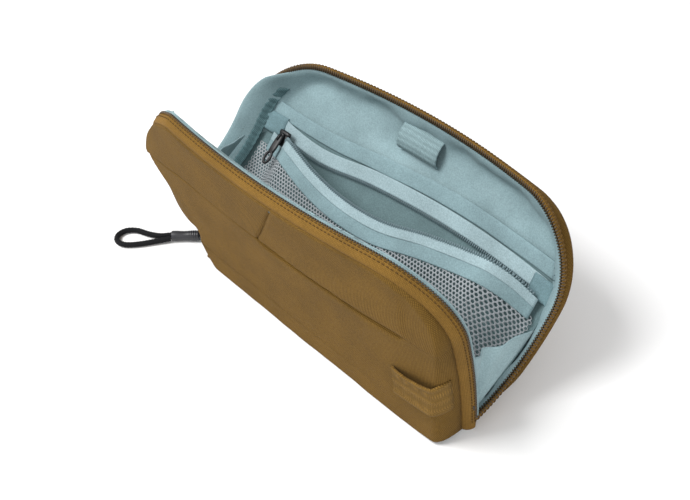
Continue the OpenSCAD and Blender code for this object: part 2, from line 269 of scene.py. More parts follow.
# Thickness of each cloth in mm; a folded edge is two layers of lining.
CANVAS_THICK, LINING_THICK, TAPE_THICK, HEM_THICK = 1.0, 0.6, 0.8, 1.3
canvas_cloth = cloth("canvas", (0.190, 0.105, 0.022), weave=0.8, depth=0.6, rough=0.92, thread=0.5)
lining_cloth = cloth("lining", (0.262, 0.372, 0.395), weave=0.45, depth=0.15, rough=0.6, thread=0.12,
                     shine=0.3)


def paint(piece, material):
    piece.data.materials.clear()
    piece.data.materials.append(material)


def dress(piece, material, carrier, slot, *nodes):
    """Paints a piece, fixes it to one body or hands it to the given function, and hides the CAD parts it
    replaces.
    """
    paint(piece, material)
    if callable(carrier):
        carrier(piece)
    else:
        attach(piece, carrier)
    if nodes:
        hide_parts(*nodes)


def eased(a, b, value):
    """0 before a, 1 after b and smooth between."""
    t = np.clip((value - a) / (b - a), 0, 1)
    return t * t * (3 - 2 * t)


across = np.linspace(-1, 1, 90)
up = np.linspace(-1, 1, 22)
U, V = np.meshgrid(across, up)
edge = 1 - np.maximum(np.abs(U) ** 30, np.abs(V) ** 10)
cover = np.stack([14 + U * (84 - 3 * (V < 0) * V**2), 0.6 + V * 17.4, 0.25 + 1.6 * (1 - edge)], -1)
cover[..., 0] += np.where(U < 0, 0, -6 * eased(0.2, 1, -V) * eased(0.7, 1, U))
base_cover = rows_to_mesh("base_cover", cover, cover + np.array([0, 0, 1.1]))
dress(base_cover, canvas_cloth, "base", "canvas", "base_canvas", "base_board")

across = np.linspace(-79, 101, 90)
up = np.linspace(-11, 17, 18)
U, V = np.meshgrid(across, up)
bowl = np.stack([U, V, 4.5 + 0.018 * V**2], -1)
bowl[..., 2] += 0.5 * wobble(bowl, 14, 3)
lining_floor = cloth_shell("lining_floor", bowl, LINING_THICK, (0, 0, 1))
dress(lining_floor, lining_cloth, "base", "lining", "base_lining")

# ---- Front half: the outer canvas ----
# A lower panel and a two-part yoke of canvas over foam, bagged out between the crease and the
# rim. To the right of the yoke's upright seam the crease is left open as a slit pocket.

LENGTH, HEIGHT, CORNER, HEEL, FOLD = 220.0, 100.0, 41.0, 34.0, 11.0
SEAM_IN, SEAM_D, CREASE = 3.8, 5.8, 57.5
FRONT_BOW, BACK_BOW = 10.0, 19.0


def bowed(x, v, bow):
    return bow * (1 - (2 * x / LENGTH) ** 2) * np.clip(v / HEIGHT, 0, 1)


def front(x, v, d):
    """Front half: x along, v up from the fold, d out from the zip's plane, to the row frame in mm."""
    x, v, d = np.broadcast_arrays(np.asarray(x, float), v, d)
    foot, top = math.radians(6.5), math.radians(23.6)
    radius = HEIGHT / (top - foot)
    lean = foot + (top - foot) * v / HEIGHT
    out = d + bowed(x, v, FRONT_BOW)
    y = -radius * (math.cos(foot) - np.cos(lean)) - out * np.cos(lean)
    z = FOLD + radius * (np.sin(lean) - math.sin(foot)) - out * np.sin(lean)
    slack = np.clip((-59 - x) / 51, 0, 1) ** 1.1 * np.clip(v / 100, 0, 1) ** 1.65
    return np.stack([x + slack * (10.3 - 0.65 * d), y + 7.7 * slack, z - 26 * slack], -1)


def back(x, v, d):
    """Back half, which curls up from nearly flat at the fold to nearly upright at its rim."""
    x, v, d = np.broadcast_arrays(np.asarray(x, float), v, d)
    foot, top = math.radians(77.9), math.radians(3.2)
    radius = HEIGHT / (foot - top)
    lean = foot + (top - foot) * v / HEIGHT
    out = d + bowed(x, v, BACK_BOW)
    y = radius * (np.cos(lean) - math.cos(foot)) + out * np.cos(lean)
    z = FOLD + radius * (math.sin(foot) - np.sin(lean)) - out * np.sin(lean)
    return np.stack([x, y, z], -1)


def limits(v, inset):
    """The left and right limit of a half at height v, inset from the zip line."""
    r = CORNER - inset
    rise = np.clip(v - (HEIGHT - CORNER), 0, r)
    right = LENGTH / 2 - inset - (r - np.sqrt(r * r - rise * rise))
    left = -right
    r = HEEL - inset
    drop = np.clip(HEEL - v, 0, r)
    heel = -LENGTH / 2 + HEEL - np.sqrt(r * r - drop * drop) + np.clip(inset - v, 0, None) * 0.8
    return np.where(v < HEEL, heel, left), right


def inside(x, v, inset):
    """How far a point lies inside the outline, whose foot is open."""
    cx, cv, hx = LENGTH / 2 - CORNER, HEIGHT - CORNER, HEEL - LENGTH / 2
    far = np.minimum(LENGTH / 2 - inset - np.abs(x), HEIGHT - inset - v)
    round_top = CORNER - inset - np.hypot(np.abs(x) - cx, v - cv)
    far = np.where((np.abs(x) > cx) & (v > cv), round_top, far)
    round_foot = HEEL - inset - np.hypot(x - hx, v - HEEL)
    open_foot = np.where(v > inset, np.hypot(x - hx, v - inset), x - hx - 0.8 * (inset - v))
    low = np.where(x < hx, round_foot, open_foot)
    return np.maximum(np.where(v < HEEL, np.minimum(far, low), far), 0)


def columns(v_rows, left, right, n):
    """A grid of x and v, one row for each height, its points close together near both limits."""
    fine = np.array((0.0, 0.35, 0.9, 1.7, 3.0, 4.5, 6.5, 9.0))
    middle = np.linspace(0, 1, n + 2)[1:-1]
    left, right = np.asarray(left)[:, None], np.asarray(right)[:, None]
    scale = np.minimum(1, (right - left) / (2.6 * fine[-1]))
    core_l, core_r = left + scale * fine[-1], right - scale * fine[-1]
    X = np.concatenate([left + scale * fine, core_l + (core_r - core_l) * middle,
                        right - scale * fine[::-1]], axis=1)
    return X, np.repeat(v_rows[:, None], X.shape[1], 1)


def rounded_rows(inset, n):
    """Heights up through the rounded top corners, close together towards the rim."""
    return HEIGHT - CORNER + np.sin(np.linspace(0, math.pi / 2, n))[1:] * (CORNER - inset)


def front_depth(x, v):
    """Depth of the outer face of the front half."""
    face = np.where(v < CREASE, 19.6 - 6.1 * v / CREASE,
                    13.5 - 7.7 * (v - CREASE) / (HEIGHT - SEAM_IN - CREASE))
    near = inside(x, v, SEAM_IN)
    turn = np.where(x > 0, 5.5 + 5 * eased(-4, 20, v), 9 + 60 * np.exp(-((v - 30) / 16.5) ** 2))
    side = 14 * np.sqrt(np.clip(1 - (1 - np.clip(near / turn, 0, 1)) ** 2, 0, 1))
    a, b = face - SEAM_D, side
    soft = 1.6
    h = np.clip(0.5 + 0.5 * (b - a) / soft, 0, 1)
    return SEAM_D + np.maximum(b * (1 - h) + a * h - soft * h * (1 - h), 0)


def dip(distance, depth=0.8, width=1.6):
    """How far cloth sinks next to a seam."""
    return depth * (1 - eased(0, width, distance))


seam_x = -4.0
slit_end = 87.0


def creased(x):
    """The crease fades out to the right of the slit's bar tack."""
    return 1 - 0.95 * eased(slit_end - 1, slit_end + 3, x)


v_rows = np.concatenate([[-8.6, -8.0, -6.8, -5], np.linspace(-3, 52, 44), [53.5, 55, 56, 56.6, 57]])
X, Vv = columns(v_rows, *limits(v_rows, SEAM_IN), 110)
D = front_depth(X, Vv)
flat = front(X, Vv, D)
D += 0.5 * wobble(flat, 38, 1) + 0.12 * wobble(flat, 9, 2)
D -= dip(CREASE - 0.4 - Vv, 0.7) * creased(X) + dip(inside(X, Vv, SEAM_IN), 1.0, 1.5)
open_slit = eased(seam_x, seam_x + 3, X) * (1 - eased(slit_end - 4, slit_end, X))
D -= 0.7 * open_slit * eased(50, 57, Vv)
Vv = Vv - 2.6 * open_slit * eased(53, 57, Vv)
Vv = Vv + 1.8 * eased(88, 106, X) * eased(2, -8, Vv) + 0.78 * (1 - creased(X)) * eased(54, 57, Vv)
outer = front(X, Vv, D)
outer[..., 2] = np.maximum(outer[..., 2], 0.3)
lower_panel = cloth_shell("front_lower_panel", outer, CANVAS_THICK, (0, -1, 0))
dress(lower_panel, canvas_cloth, "front_half", "canvas", "front_panel", "front_foam")


def yoke_piece(name, x0, x1, seed, node_name):
    """One part of the yoke, from x0 to x1, its edges turned under."""
    low = CREASE + 0.3
    v_rows = np.unique(np.round(np.concatenate([
        [low, low + 0.3, low + 0.8, low + 1.5], rounded_rows(SEAM_IN, 26)]), 3))
    left, right = limits(v_rows, SEAM_IN)
    slant = 23 * (v_rows - CREASE) / (HEIGHT - SEAM_IN - CREASE)
    x0, x1 = x0 + slant, x1 + slant
    left, right = np.maximum(left, x0), np.minimum(right, x1)
    x0, x1 = x0[:, None], x1[:, None]
    X, V = columns(v_rows, left, right, 60)
    D = front_depth(X, V)
    flat = front(X, V, D)
    D += 0.45 * wobble(flat, 30, seed) + 0.12 * wobble(flat, 9, seed + 1)
    near = np.minimum(np.abs(X - x0), np.abs(X - x1))
    rim = inside(X, V, SEAM_IN)
    D += 0.75 * creased(X) - dip(V - low, 0.75, 1.4) * creased(X)
    D -= dip(near, 0.85, 1.6) * eased(0, 5, rim) + dip(rim, 1.4, 1.6)
    outer = front(X, V, D)
    piece = cloth_shell(name, outer, CANVAS_THICK, (0, -1, 0))
    dress(piece, canvas_cloth, "front_half", "canvas", node_name)


yoke_piece("front_yoke_left", -300, seam_x + 0.25, 4, "yoke_left")
yoke_piece("front_yoke_right", seam_x + 0.02, 300, 6, "yoke_right")

# The slit pocket's bag is the canvas brown at about a third of its colour: painted shade that makes the
# open slit look dark.
slit_shade_cloth = cloth("pocket_bag", (0.06, 0.035, 0.012), weave=0.5, rough=0.95)
X, V = np.meshgrid(np.linspace(seam_x - 1, slit_end + 2, 50), np.linspace(14, 62, 24))
grid = front(X, V, front_depth(X, V) - 2.2)
slit_bag = cloth_shell("slit_pocket_cloth", grid, LINING_THICK, (0, -1, 0))
dress(slit_bag, slit_shade_cloth, "front_half", "bag", "slit_pocket_bag")

# ---- Front half: zip tape, coil and stitches ----
# The tape runs from the canvas seam up to the rim, where a nylon coil is sewn to it by two rows
# of stitches. The coil's turns and the stitches are placed one by one along the rim.


def rim_path(step, foot, heel_turn=80):
    """Points on the zip line from the lower right round to the heel: x, v and the inward normal."""
    cx, cv = LENGTH / 2 - CORNER, HEIGHT - CORNER
    parts = []
    n = max(2, int((cv - foot) / step))
    for v in np.linspace(foot, cv, n, endpoint=False):
        parts.append((LENGTH / 2, v, -1, 0))
    n = int(CORNER * math.pi / 2 / step)
    for a in np.linspace(0, math.pi / 2, n, endpoint=False):
        parts.append((cx + CORNER * math.cos(a), cv + CORNER * math.sin(a), -math.cos(a), -math.sin(a)))
    for x in np.linspace(cx, -cx, int(2 * cx / step), endpoint=False):
        parts.append((x, HEIGHT, 0, -1))
    for a in np.linspace(math.pi / 2, math.pi, n, endpoint=False):
        parts.append((-cx + CORNER * math.cos(a), cv + CORNER * math.sin(a), -math.cos(a), -math.sin(a)))
    for v in np.linspace(cv, HEEL, int((cv - HEEL) / step), endpoint=False):
        parts.append((-LENGTH / 2, v, 1, 0))
    hx = -LENGTH / 2 + HEEL
    turn = math.radians(heel_turn)
    for a in np.linspace(math.pi, math.pi + turn, int(HEEL * turn / step)):
        parts.append((hx + HEEL * math.cos(a), HEEL + HEEL * math.sin(a), -math.cos(a), -math.sin(a)))
    return np.array(parts)


def along_rim(place, path, profile):
    """A grid of points: the profile's (inset, depth) pairs carried along the rim."""
    rows = [place(path[:, 0] + path[:, 2] * i, path[:, 1] + path[:, 3] * i, d) for i, d in profile]
    return np.stack(rows, 0)


def rim_band(name, place, path, profile, thick, facing):
    """A strip of tape along the rim."""
    return cloth_shell(name, along_rim(place, path, profile), thick, facing)


def run_of(place, path, inset, depth):
    """Points along the rim, with the ways forward, outward and inward at each."""
    at, out, inner = along_rim(place, path, ((inset, depth), (inset, depth + 1), (inset + 1, depth)))
    return at, np.gradient(at, axis=0), out - at, inner - at


def tube_faces(n, sides, closed=False, capped=False):
    """Faces round n rings of points; a closed tube joins its ends, a capped one fills them."""
    faces = []
    for i in range(n if closed else n - 1):
        for k in range(sides):
            j, m = (k + 1) % sides, (i + 1) % n
            faces.append((i * sides + k, i * sides + j, m * sides + j, m * sides + k))
    if capped:
        faces.append(tuple(range(sides)))
        faces.append(tuple((n - 1) * sides + k for k in reversed(range(sides))))
    return faces


def bead(name, half):
    """A rounded little block, half sizes in mm along x, y and z, unlinked for repeating."""
    rings, sides, sharp = 3, 8, 0.6
    rows = []
    for a in np.linspace(-math.pi / 2, math.pi / 2, rings + 2)[1:-1]:
        for b in np.linspace(0, 2 * math.pi, sides, endpoint=False):
            p = np.array([math.sin(a), math.cos(a) * math.cos(b), math.cos(a) * math.sin(b)])
            rows.append(np.sign(p) * np.abs(p) ** sharp * half)
    rows += [np.array([-half[0], 0, 0]), np.array([half[0], 0, 0])]
    faces = tube_faces(rings, sides)
    for k in range(sides):
        j = (k + 1) % sides
        faces.append((rings * sides, j, k))
        faces.append((rings * sides + 1, (rings - 1) * sides + k, (rings - 1) * sides + j))
    mesh = bpy.data.meshes.new(name)
    mesh.from_pydata([tuple(r * MM) for r in rows], [], faces)
    face_outward(mesh)
    return bpy.data.objects.new(name, mesh)


def turned(forward, upward):
    """Euler turns that point x along forward and z close to upward."""
    turns = []
    for f, u in zip(forward, upward):
        x = Vector(f).normalized()
        y = Vector(u).cross(x).normalized()
        z = x.cross(y)
        turns.append(tuple(Matrix([[x[i], y[i], z[i]] for i in range(3)]).to_euler()))
    return turns


def instanced(name, spots, turns, half):
    """Repeats a bead of the given half sizes at each spot in mm with Geometry Nodes, as one mesh."""
    unit = bead(name + "_unit", half)
    points = bpy.data.meshes.new(name + "_points")
    points.from_pydata([tuple(p) for p in spots * MM], [], [])
    turn = points.attributes.new("turn", "FLOAT_VECTOR", "POINT")
    turn.data.foreach_set("vector", np.asarray(turns, np.float32).ravel())
    holder = bpy.data.objects.new(name, points)
    bpy.context.scene.collection.objects.link(holder)
    group = bpy.data.node_groups.new(name + "_repeat", "GeometryNodeTree")
    group.interface.new_socket("Geometry", in_out="INPUT", socket_type="NodeSocketGeometry")
    unit_in = group.interface.new_socket("Unit", in_out="INPUT", socket_type="NodeSocketObject")
    group.interface.new_socket("Geometry", in_out="OUTPUT", socket_type="NodeSocketGeometry")
    start, end = node(group, "NodeGroupInput"), node(group, "NodeGroupOutput")
    info = node(group, "GeometryNodeObjectInfo")
    place = node(group, "GeometryNodeInstanceOnPoints")
    read = node(group, "GeometryNodeInputNamedAttribute", data_type="FLOAT_VECTOR")
    read.inputs["Name"].default_value = "turn"
    real = node(group, "GeometryNodeRealizeInstances")
    link = group.links.new
    link(start.outputs["Geometry"], place.inputs["Points"])
    link(start.outputs["Unit"], info.inputs["Object"])
    link(info.outputs["Geometry"], place.inputs["Instance"])
    link(read.outputs["Attribute"], place.inputs["Rotation"])
    link(place.outputs["Instances"], real.inputs["Geometry"])
    link(real.outputs["Geometry"], end.inputs["Geometry"])
    modifier = holder.modifiers.new("repeat", "NODES")
    modifier.node_group = group
    modifier[unit_in.identifier] = unit
    bpy.context.view_layer.update()
    shown = holder.evaluated_get(bpy.context.evaluated_depsgraph_get())
    mesh = bpy.data.meshes.new_from_object(shown)
    holder.modifiers.clear()
    holder.data = mesh
    mesh.name = name
    mesh.polygons.foreach_set("use_smooth", [True] * len(mesh.polygons))
    bpy.data.objects.remove(unit)
    return holder


tape_cloth = cloth("zip_tape_cloth", (0.225, 0.122, 0.025), weave=0.7, depth=0.4, rough=0.85)
stitch_thread = cloth("stitch_thread", (0.13, 0.07, 0.018), weave=0.3, depth=0.5, rough=0.8)
coil_nylon = plastic("coil_nylon", (0.06, 0.036, 0.014), rough=0.4)

TAPE_PROFILE = ((1.2, 0.1), (0.4, 0.3), (0.1, 1.0), (0.25, 2.2), (0.9, 3.6), (2.0, 4.9), (3.2, 5.7),
                (4.4, 5.9))
coil_steps = rim_path(1.35, 0.5, 60)
stitch_steps = rim_path(2.1, -1)


def zip_half(side, place, foot, facing, carrier, tape_nodes, coil_nodes):
    """A half's tape, its coil turns and its two rows of stitches, the tape starting at foot."""
    tape = rim_band(side + "_tape", place, rim_path(1.5, foot), TAPE_PROFILE, TAPE_THICK, facing)
    dress(tape, tape_cloth, carrier, "zip_tape", *tape_nodes)
    at, forward, out, inner = run_of(place, coil_steps, 1.3, 0.3)
    coil = instanced(side + "_coil", at, turned(inner, -out), np.array([1.55, 0.42, 0.75]))
    dress(coil, coil_nylon, carrier, "zip_coil", *coil_nodes)
    for number, (inset, depth) in enumerate(((0.1, 1.3), (0.45, 2.7))):
        at, forward, out, inner = run_of(place, stitch_steps, inset, depth)
        face = out * 0.7 - inner * 0.7
        row = instanced(f"{side}_stitches_{number + 1}", at + 0.1 * face, turned(forward, face),
                        np.array([0.75, 0.28, 0.2]))
        dress(row, stitch_thread, carrier, "zip_tape")


zip_half("front", front, -6.4, (0, -1, 0.3), "front_half", ["front_zip_tape"], ["front_zip_coil"])

# ---- Front half: lining and binding ----
# A smooth lining, turned in behind the coil and laid over the foam. A binding tape covers its
# seam on the inside.


def lining_grid(inset, v_low, depth_of):
    """A grid of x, v and depth over a half's lining, from v_low up to the rim."""
    v_rows = np.concatenate([np.linspace(v_low, HEIGHT - CORNER, 34), rounded_rows(inset, 22)])
    X, V = columns(v_rows, *limits(v_rows, inset), 96)
    return X, V, depth_of(X, V)


def front_tray(x, v):
    """Depth of the front half's lining, turned in behind the coil."""
    near = inside(x, v, 0.6)
    return -1.7 + 2.7 * eased(0, 2.5, near) + 8.5 * eased(1, 14, near)


X, V, D = lining_grid(0.6, -2, front_tray)
D = np.minimum(D, front_depth(X, V) - 3.4)
grid = front(X, V, D)
near = eased(0, 5, inside(X, V, 0.6))
folds = (0.8 * wobble(grid, 16, 11) + 0.3 * wobble(grid, 6, 12)) * near + 0.25 * wobble(grid, 9, 13)
grid += normals(grid, (0, 1, 0)) * folds[..., None]
front_lining = cloth_shell("front_lining_cloth", grid, LINING_THICK, (0, 1, 0))
dress(front_lining, lining_cloth, "front_half", "lining", "front_lining")

binding_cloth = cloth("binding_cloth", (0.12, 0.21, 0.225), weave=0.9, depth=0.6, rough=0.8, thread=0.35)
front_bind = rim_band("front_binding_tape", front, rim_path(2.5, 0), ((5.5, 4.6), (6.6, 5.8), (7.8, 6.6)),
                      0.5, (0, 1, 0))
dress(front_bind, binding_cloth, "front_half", "binding", "front_binding")

# ---- Front half: webbing loop and label ----
# Ribbed webbing is caught in the right seam and tacked at its left end, with finger room behind
# it. A blank folded label sits in the left seam.

webbing = cloth("webbing_tape", (0.200, 0.114, 0.027), weave=6.0, ribs=1.25, depth=1.0, rough=0.85,
                thread=0.3)
strap_u = np.concatenate([[0, 0.008, 0.02], np.linspace(0.04, 1, 60)])
strap_w = np.linspace(0, 1, 26)
S, W = np.meshgrid(strap_u, strap_w)
STRAP_LENGTH, RIB_PITCH = 28.3, 1.25
x = 77.8 + S * STRAP_LENGTH
v = 9.2 + 20.5 * W + (5.6 + 1.5 * W) * S
stand = 0.6 + 1.5 * S**3 + np.sin(math.pi * np.clip(S, 0, 1)) ** 0.6 * (0.7 + 2.2 * W**4)
band = 0.35 * (np.exp(-(((W - 0.5) / 0.05) ** 2)) + np.exp(-(((W - 0.06) / 0.05) ** 2))
               + np.exp(-(((W - 0.94) / 0.05) ** 2)))
ribs = 0.24 * np.sin(S * STRAP_LENGTH / RIB_PITCH * 2 * math.pi) * (1 - np.clip(band * 3, 0, 1))
strap = front(x, v, front_depth(x, v) + stand + band + ribs)
strap_piece = cloth_shell("webbing_strap", strap, 1.3, (0.3, -1, 0))
dress(strap_piece, webbing, "front_half", "webbing", "webbing_loop")

label_cloth = cloth("label_cloth", (0.012, 0.012, 0.013), weave=0.4, depth=0.2, rough=0.7)
S, W = np.meshgrid(np.linspace(0, 1, 12), np.linspace(0, 1, 14))
label_grid = front(-LENGTH / 2 + 5.4 - 5.5 * S, 42 + 17 * W, 7.2 + 0.5 * np.sin(3 * S) + 0 * W)
side_tag = cloth_shell("side_tag", label_grid, 1.0, (0, -1, 0))
dress(side_tag, label_cloth, "front_half", "label", "side_label")

# ---- Back half: the outer canvas, zip tape and coil ----
# One skin of canvas over foam that curls up from the base; its rim carries the other coil.


def bend_back(piece):
    """Bakes the piece's placement into its mesh."""
    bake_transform(piece)


INTO_POUCH = (0, -1, 0.5)


def back_depth(x, v):
    """Depth of the outer face of the back half."""
    full = 15 - 3.5 * np.clip(1 - (2 * x / LENGTH) ** 2, 0, 1) * eased(20, 80, v)
    face = np.minimum(full, 8.6 + 0.42 * np.maximum(v, -1))
    near = inside(x, v, SEAM_IN)
    side = 10 * np.sqrt(np.clip(1 - (1 - np.clip(near / 9, 0, 1)) ** 2, 0, 1))
    return SEAM_D + np.clip(np.minimum(face - SEAM_D, side), 0, None)


v_rows = np.concatenate([np.linspace(-1, HEIGHT - CORNER, 40), rounded_rows(SEAM_IN, 26)])
X, V = columns(v_rows, *limits(v_rows, SEAM_IN), 90)
D = back_depth(X, V)
flat = back(X, V, D)
D += 0.5 * wobble(flat, 34, 21) * eased(14, 30, V) - dip(inside(X, V, SEAM_IN), 0.5, 1.2)
swell = 3.0 * eased(0, 5, D - SEAM_D) * (1 - eased(4, 15, inside(X, V, SEAM_IN))) * eased(8, 30, V)
corner_x, corner_v = LENGTH / 2 - CORNER, HEIGHT - CORNER
away_x, away_v = np.maximum(np.abs(X) - corner_x, 0), np.maximum(V - corner_v, 0)
away = np.maximum(np.hypot(away_x, away_v), 1e-6)
side_swell = swell * np.sign(X) * (away_x / away) * eased(0, 12, away_x)
top_swell = swell * 0.5 * away_v / away * eased(0, 30, away_x)
outer = back(X + side_swell, V + top_swell, D)
outer[..., 2] = np.maximum(outer[..., 2], 0.35)
back_skin = cloth_shell("back_canvas", outer, CANVAS_THICK, (0, 1, -0.3))
dress(back_skin, canvas_cloth, bend_back, "canvas", "back_panel_lower", "back_panel_upper",
      "back_foam_lower", "back_foam_upper")

zip_half("back", back, -0.5, (0, 1, 0.3), bend_back, ["back_zip_tape_lower", "back_zip_tape_upper"],
         ["back_zip_coil_lower", "back_zip_coil_upper"])

# ---- Back half: lining and binding ----
# The lining forms a shallow tray whose left edge rolls outward over the coil. A bound and
# stitched seam runs along the tray's left inner corner.


def back_tray(x, v):
    full = 10.0 - 2.5 * (1 - (2 * x / LENGTH) ** 2) * np.clip(v / 90, 0, 1)
    return 0.9 + (full - 0.9) * eased(-0.4, 8.5, inside(x, v, 2.6))


X, V, D = lining_grid(2.6, 1, back_tray)
D = np.minimum(D, np.maximum(6.5 + 0.3 * V, 1) + 10 * (V > 20))
near = inside(X, V, 2.6)
roll = eased(-84, -98, X) * (1 - eased(2, 8, near)) * (1 - eased(84, 96, V))
wall = np.exp(-(((near - 5) / 4) ** 2)) * eased(40, 70, V)
D = D - 5.6 * roll
flat = back(X, V, D)
crease_waves = 1.5 * wobble(flat, 15, 31) * (1 + 0.7 * wall) + 0.45 * wobble(flat, 5.5, 32)
grid = back(X - 4.4 * roll, V, D)
grid += normals(grid, INTO_POUCH) * (crease_waves * eased(0, 6, near) + 1.3 * wall)[..., None]
back_lining = cloth_shell("back_lining_cloth", grid, LINING_THICK, INTO_POUCH)
dress(back_lining, lining_cloth, bend_back, "lining", "back_lining_lower", "back_lining_upper")

S, V = np.meshgrid(np.linspace(0, 1, 9), np.linspace(14, 80, 110))
X = limits(V, 6.4)[0] + 3.6 * S
D = np.minimum(back_tray(X, V), 8.4) - 2.9 - 0.7 * np.sin(math.pi * S) + 0.3 * np.sin(V * 1.9)
grid = back(X, V, D)
back_bind = cloth_shell("back_binding_tape", grid, HEM_THICK, (0.5, -1, 0.5))
dress(back_bind, binding_cloth, bend_back, "binding", "back_binding_lower", "back_binding_upper")

# ---- Back half: slip pocket and pen loop ----
# A full-width slip pocket with a folded hem, slightly open at its mouth, and an elastic loop
# above it for one pen lying along the pouch.


def spline(points, at):
    """A smooth curve through a few (position, value) pairs."""
    xs, ys = np.array(points, float).T
    slopes = np.gradient(ys, xs)
    at = np.clip(np.asarray(at, float), xs[0], xs[-1])
    i = np.clip(np.searchsorted(xs, at) - 1, 0, len(xs) - 2)
    h = xs[i + 1] - xs[i]
    t = (at - xs[i]) / h
    return ((2 * t**3 - 3 * t**2 + 1) * ys[i] + (t**3 - 2 * t**2 + t) * h * slopes[i]
            + (3 * t**2 - 2 * t**3) * ys[i + 1] + (t**3 - t**2) * h * slopes[i + 1])


def slip_top(x):
    return spline(((-103, 72.6), (-60, 71), (-20, 73.5), (30, 76.5), (103, 76)), x)


def slip_depth(x, v):
    """The slip pocket stands a little off the lining towards its mouth."""
    tray = back_tray(x, v)
    gapped = 1.2 + 2.6 * eased(20, 76, v) * np.clip(1 - (x / 104) ** 4, 0, 1)
    return np.maximum(tray - gapped, 1.2)


# The slip pocket is the lining's cloth at about 0.55 of its colour: painted shade for the dim inside of
# the pouch behind the mesh.
shaded_pocket_lining = cloth("shaded_pocket_lining", (0.135, 0.205, 0.215), weave=0.5, depth=0.2, rough=0.7, thread=0.15)


def slip_grid(X, V, proud, ripple, size, seed):
    """A grid on the slip pocket's face, standing proud of it, with broad folds and finer ripples."""
    X = np.clip(X, *limits(V, 7.2))
    grid = back(X, V, slip_depth(X, V) - proud)
    folds = 0.5 * wobble(grid, 18, 41) + ripple * wobble(grid, size, seed)
    return grid + normals(grid, INTO_POUCH) * folds[..., None]


slip_x = np.linspace(-102.5, 102.5, 120)
X, T = np.meshgrid(slip_x, np.linspace(0, 1, 46))
grid = slip_grid(X, 12 + T * (slip_top(X) - 1.0 - 12), 0, 0.2, 6, 42)
slip = cloth_shell("slip_pocket", grid, LINING_THICK, INTO_POUCH)
dress(slip, shaded_pocket_lining, bend_back, "lining", "slip_panel_lower", "slip_panel_upper")

hem_cloth = cloth("hem_cloth", (0.25, 0.36, 0.385), weave=0.5, depth=0.25, rough=0.7, thread=0.2)
hem_high = 7.0
X, T = np.meshgrid(slip_x, np.linspace(0, 1, 14))
proud = 0.7 + 0.35 * np.sin(math.pi * T) ** 0.5
grid = slip_grid(X, slip_top(X) - hem_high * (1 - T), proud, 0.15, 4, 43)
hem = cloth_shell("slip_pocket_hem", grid, HEM_THICK, INTO_POUCH)
dress(hem, hem_cloth, bend_back, "lining", "slip_hem")

elastic = cloth("elastic", (0.27, 0.38, 0.40), weave=3.0, ribs=0.9, depth=0.8, rough=0.75, thread=0.3)
S, A = np.meshgrid(np.linspace(0, 1, 40), np.radians(np.linspace(-82, 82, 30)))
LOOP_WIDTH, ELASTIC_PITCH = 27, 0.9
x = -17 + LOOP_WIDTH * S
v = 85.5 + 6.2 * np.sin(A)
d = 8.2 - 1.2 - 5.6 * np.cos(A) + 0.1 * np.sin(S * LOOP_WIDTH / ELASTIC_PITCH * 2 * math.pi)
grid = back(x, v, d)
pen_elastic = cloth_shell("pen_elastic", grid, 0.8, (0, -1, 0.2))
dress(pen_elastic, elastic, bend_back, "elastic", "pen_loop")

# ---- Back half: upper tape of the mesh pocket, with its tabs ----
# A light zip tape with small coil turns is sewn across the slip pocket. Folded tabs of lining
# cover its ends.


def tape_line(x):
    """Height of the upper tape's coil edge."""
    return spline(((-95, 60.5), (-80, 57.5), (-62, 56), (-21, 60), (76, 62.5), (103, 61)), x)


tape_light = cloth("pocket_tape_cloth", (0.37, 0.49, 0.52), weave=0.55, depth=0.3, rough=0.7, thread=0.25)
coil_light = plastic("pocket_coil_nylon", (0.13, 0.19, 0.21), rough=0.4)
X, T = np.meshgrid(np.linspace(-88, 96, 120), np.linspace(0, 1, 10))
Vv = tape_line(X) + 6.5 * T
grid = back(X, Vv, slip_depth(X, Vv) - 1.7)
upper_tape = cloth_shell("pocket_upper_tape", grid, 0.7, INTO_POUCH)
dress(upper_tape, tape_light, bend_back, "pocket_tape", "pocket_tape_upper")


def pocket_coil(name, at, outward, carrier, node_name):
    """The pocket zip's small coil turns at spots in mm, with the way out of the cloth at each."""
    rungs = np.cross(outward, np.gradient(at, axis=0))
    coil = instanced(name, at, turned(rungs, outward), np.array([1.1, 0.4, 0.5]))
    dress(coil, coil_light, carrier, "pocket_coil", node_name)


POCKET_TURN = 1.3
x = np.arange(-86, 94, POCKET_TURN)
at = back(x, tape_line(x) - 0.6, slip_depth(x, tape_line(x)) - 1.9)
behind = back(x, tape_line(x) - 0.6, slip_depth(x, tape_line(x)) - 0.9)
pocket_coil("pocket_upper_coil", at, at - behind, bend_back, "pocket_coil_upper")


def tab_piece(name, x0, x1, v0, v1, node_name, seed):
    """A folded tab of lining over one end of the pocket's zip."""
    X, V = np.meshgrid(np.linspace(x0, x1, 18), np.linspace(v0, v1, 18))
    near = np.minimum(np.minimum(X - x0, x1 - X), np.minimum(V - v0, v1 - V))
    grid = back(X, V, slip_depth(X, V) - 2.6 + dip(near, 0.9, 1.6))
    grid += 0.3 * wobble(grid, 6, seed)[..., None] * np.array([0, -0.6, 0.8])
    piece = cloth_shell(name, grid, 1.2, INTO_POUCH)
    dress(piece, tab_cloth, bend_back, "binding", node_name)


tab_cloth = cloth("tab_cloth", (0.17, 0.27, 0.295), weave=0.6, depth=0.3, rough=0.75, thread=0.2)
tab_piece("pocket_tab_left_cloth", -101, -87, 56, 66.5, "pocket_tab_left", 51)
tab_piece("pocket_tab_right_cloth", 88, 101, 58, 68, "pocket_tab_right", 52)

# ---- Mesh front of the pocket ----
# Open warp-knit mesh with a folded hem and the lower zip tape; it hangs away from the slip
# pocket, held at the pocket's foot and both ends, and its mouth sags in the middle.


def mouth_line(x):
    """How far up the mesh front its coil edge lies."""
    return spline(((-95, 60), (-78, 57.5), (-59, 52.7), (-40, 47.3), (-16, 43.8), (12, 44.6), (42, 52),
                   (60, 55.6), (96, 61.5)), x)


